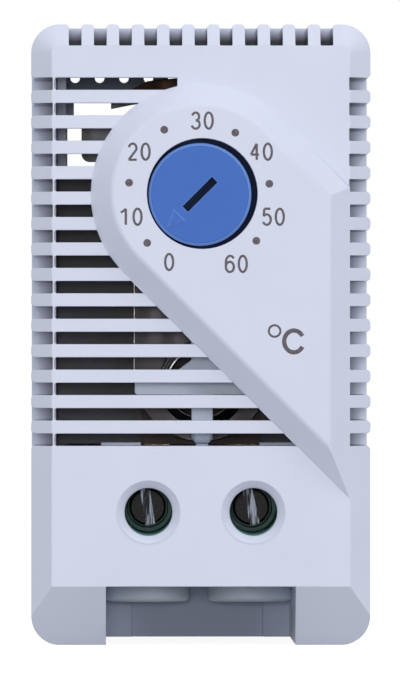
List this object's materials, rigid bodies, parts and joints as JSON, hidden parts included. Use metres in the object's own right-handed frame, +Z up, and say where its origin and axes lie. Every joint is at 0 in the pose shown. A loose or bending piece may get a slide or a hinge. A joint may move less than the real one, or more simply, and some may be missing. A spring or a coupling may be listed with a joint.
{
  "type": "bimetal thermostat",
  "caption": "Small cabinet thermostat for a 35 mm rail: vented grey housing with a teardrop dial plateau, blue setting knob, bimetal snap contact and screw terminals.",
  "frame": {"origin": "middle of the footprint, on the surface that the housing stands on", "axes": "+Z up the housing, +X to the right of the dial, -Y out of the dial, so +Y points at the rail"},
  "size_m": [0.033, 0.043, 0.0604],
  "materials": {
    "housing_plastic": "fine matte moulding, light grey",
    "knob_plastic": "satin moulding, blue",
    "black_plastic": "matte moulding, black",
    "lever_plastic": "satin moulding, light grey",
    "terminal_plastic": "satin moulding, dark green",
    "hard_paper": "sawn hard paper board, dark brown",
    "bimetal": "rolled strip",
    "spring_steel": "drawn wire and stamped strip",
    "zinc_steel": "zinc plated",
    "screw_steel": "dark passivated",
    "brass": "stamped",
    "contact_silver": "silver contact alloy",
    "magnet": "sintered ferrite"
  },
  "bodies": {
    "housing": {"front_cover": "housing_plastic", "rear_base": "housing_plastic", "knob_clip": "lever_plastic", "mechanism_carrier": "black_plastic", "carrier_screws": "zinc_steel", "blade_bracket": "zinc_steel", "blade_rivets": "brass", "bracket_rivets": "brass", "calibration_screw": "brass", "fixed_contact": "contact_silver", "snap_magnet": "magnet", "contact_board": "hard_paper", "board_rivets": "brass", "bus_strip_left": "brass", "bus_strip_right": "brass", "terminal_block": "terminal_plastic"},
    "knob": {"dial_knob": "knob_plastic"},
    "lever": {"setting_lever": "lever_plastic", "lever_spring": "spring_steel"},
    "blade": {"bimetal_blade": "bimetal", "moving_contact": "contact_silver"},
    "screw_left": {"terminal_screw_left": "screw_steel"},
    "screw_right": {"terminal_screw_right": "screw_steel"},
    "cage_left": {"clamp_cage_left": "zinc_steel"},
    "cage_right": {"clamp_cage_right": "zinc_steel"}
  },
  "joints": [
    {"name": "knob_turn", "type": "hinge", "parent": "housing", "child": "knob", "pos_m": [-0.00012, -0.0175, 0.04382], "axis": [0, 1, 0], "range_deg": [-19, 289]},
    {"name": "lever_tilt", "type": "hinge", "parent": "housing", "child": "lever", "pos_m": [0.0002, -0.0103, 0.02064], "axis": [1, 0, 0], "range_deg": [-5.4, 0.4], "deforming": ["lever_spring"]},
    {"name": "blade_flex", "type": "hinge", "parent": "housing", "child": "blade", "pos_m": [0.0002, -0.00635, 0.0488], "axis": [1, 0, 0], "range_deg": [-0.6, 1], "stiffness_Nm_per_rad": 0.02},
    {"name": "screw_left_turn", "type": "hinge", "parent": "housing", "child": "screw_left", "pos_m": [-0.0051, -0.004, 0.0133], "axis": [0, 1, 0], "range_deg": [0, 1800]},
    {"name": "screw_right_turn", "type": "hinge", "parent": "housing", "child": "screw_right", "pos_m": [0.0051, -0.004, 0.0133], "axis": [0, 1, 0], "range_deg": [0, 1800]},
    {"name": "cage_left_slide", "type": "slide", "parent": "housing", "child": "cage_left", "axis": [0, 1, 0], "range_m": [-0.0025, 0]},
    {"name": "cage_right_slide", "type": "slide", "parent": "housing", "child": "cage_right", "axis": [0, 1, 0], "range_m": [-0.0025, 0]}
  ],
  "couplings": [
    {"joint": "lever_tilt", "follows": "knob_turn", "ratio": -0.01826},
    {"joint": "screw_left_turn", "follows": "cage_left_slide", "rad_per_m": -12566},
    {"joint": "screw_right_turn", "follows": "cage_right_slide", "rad_per_m": -12566}
  ]
}
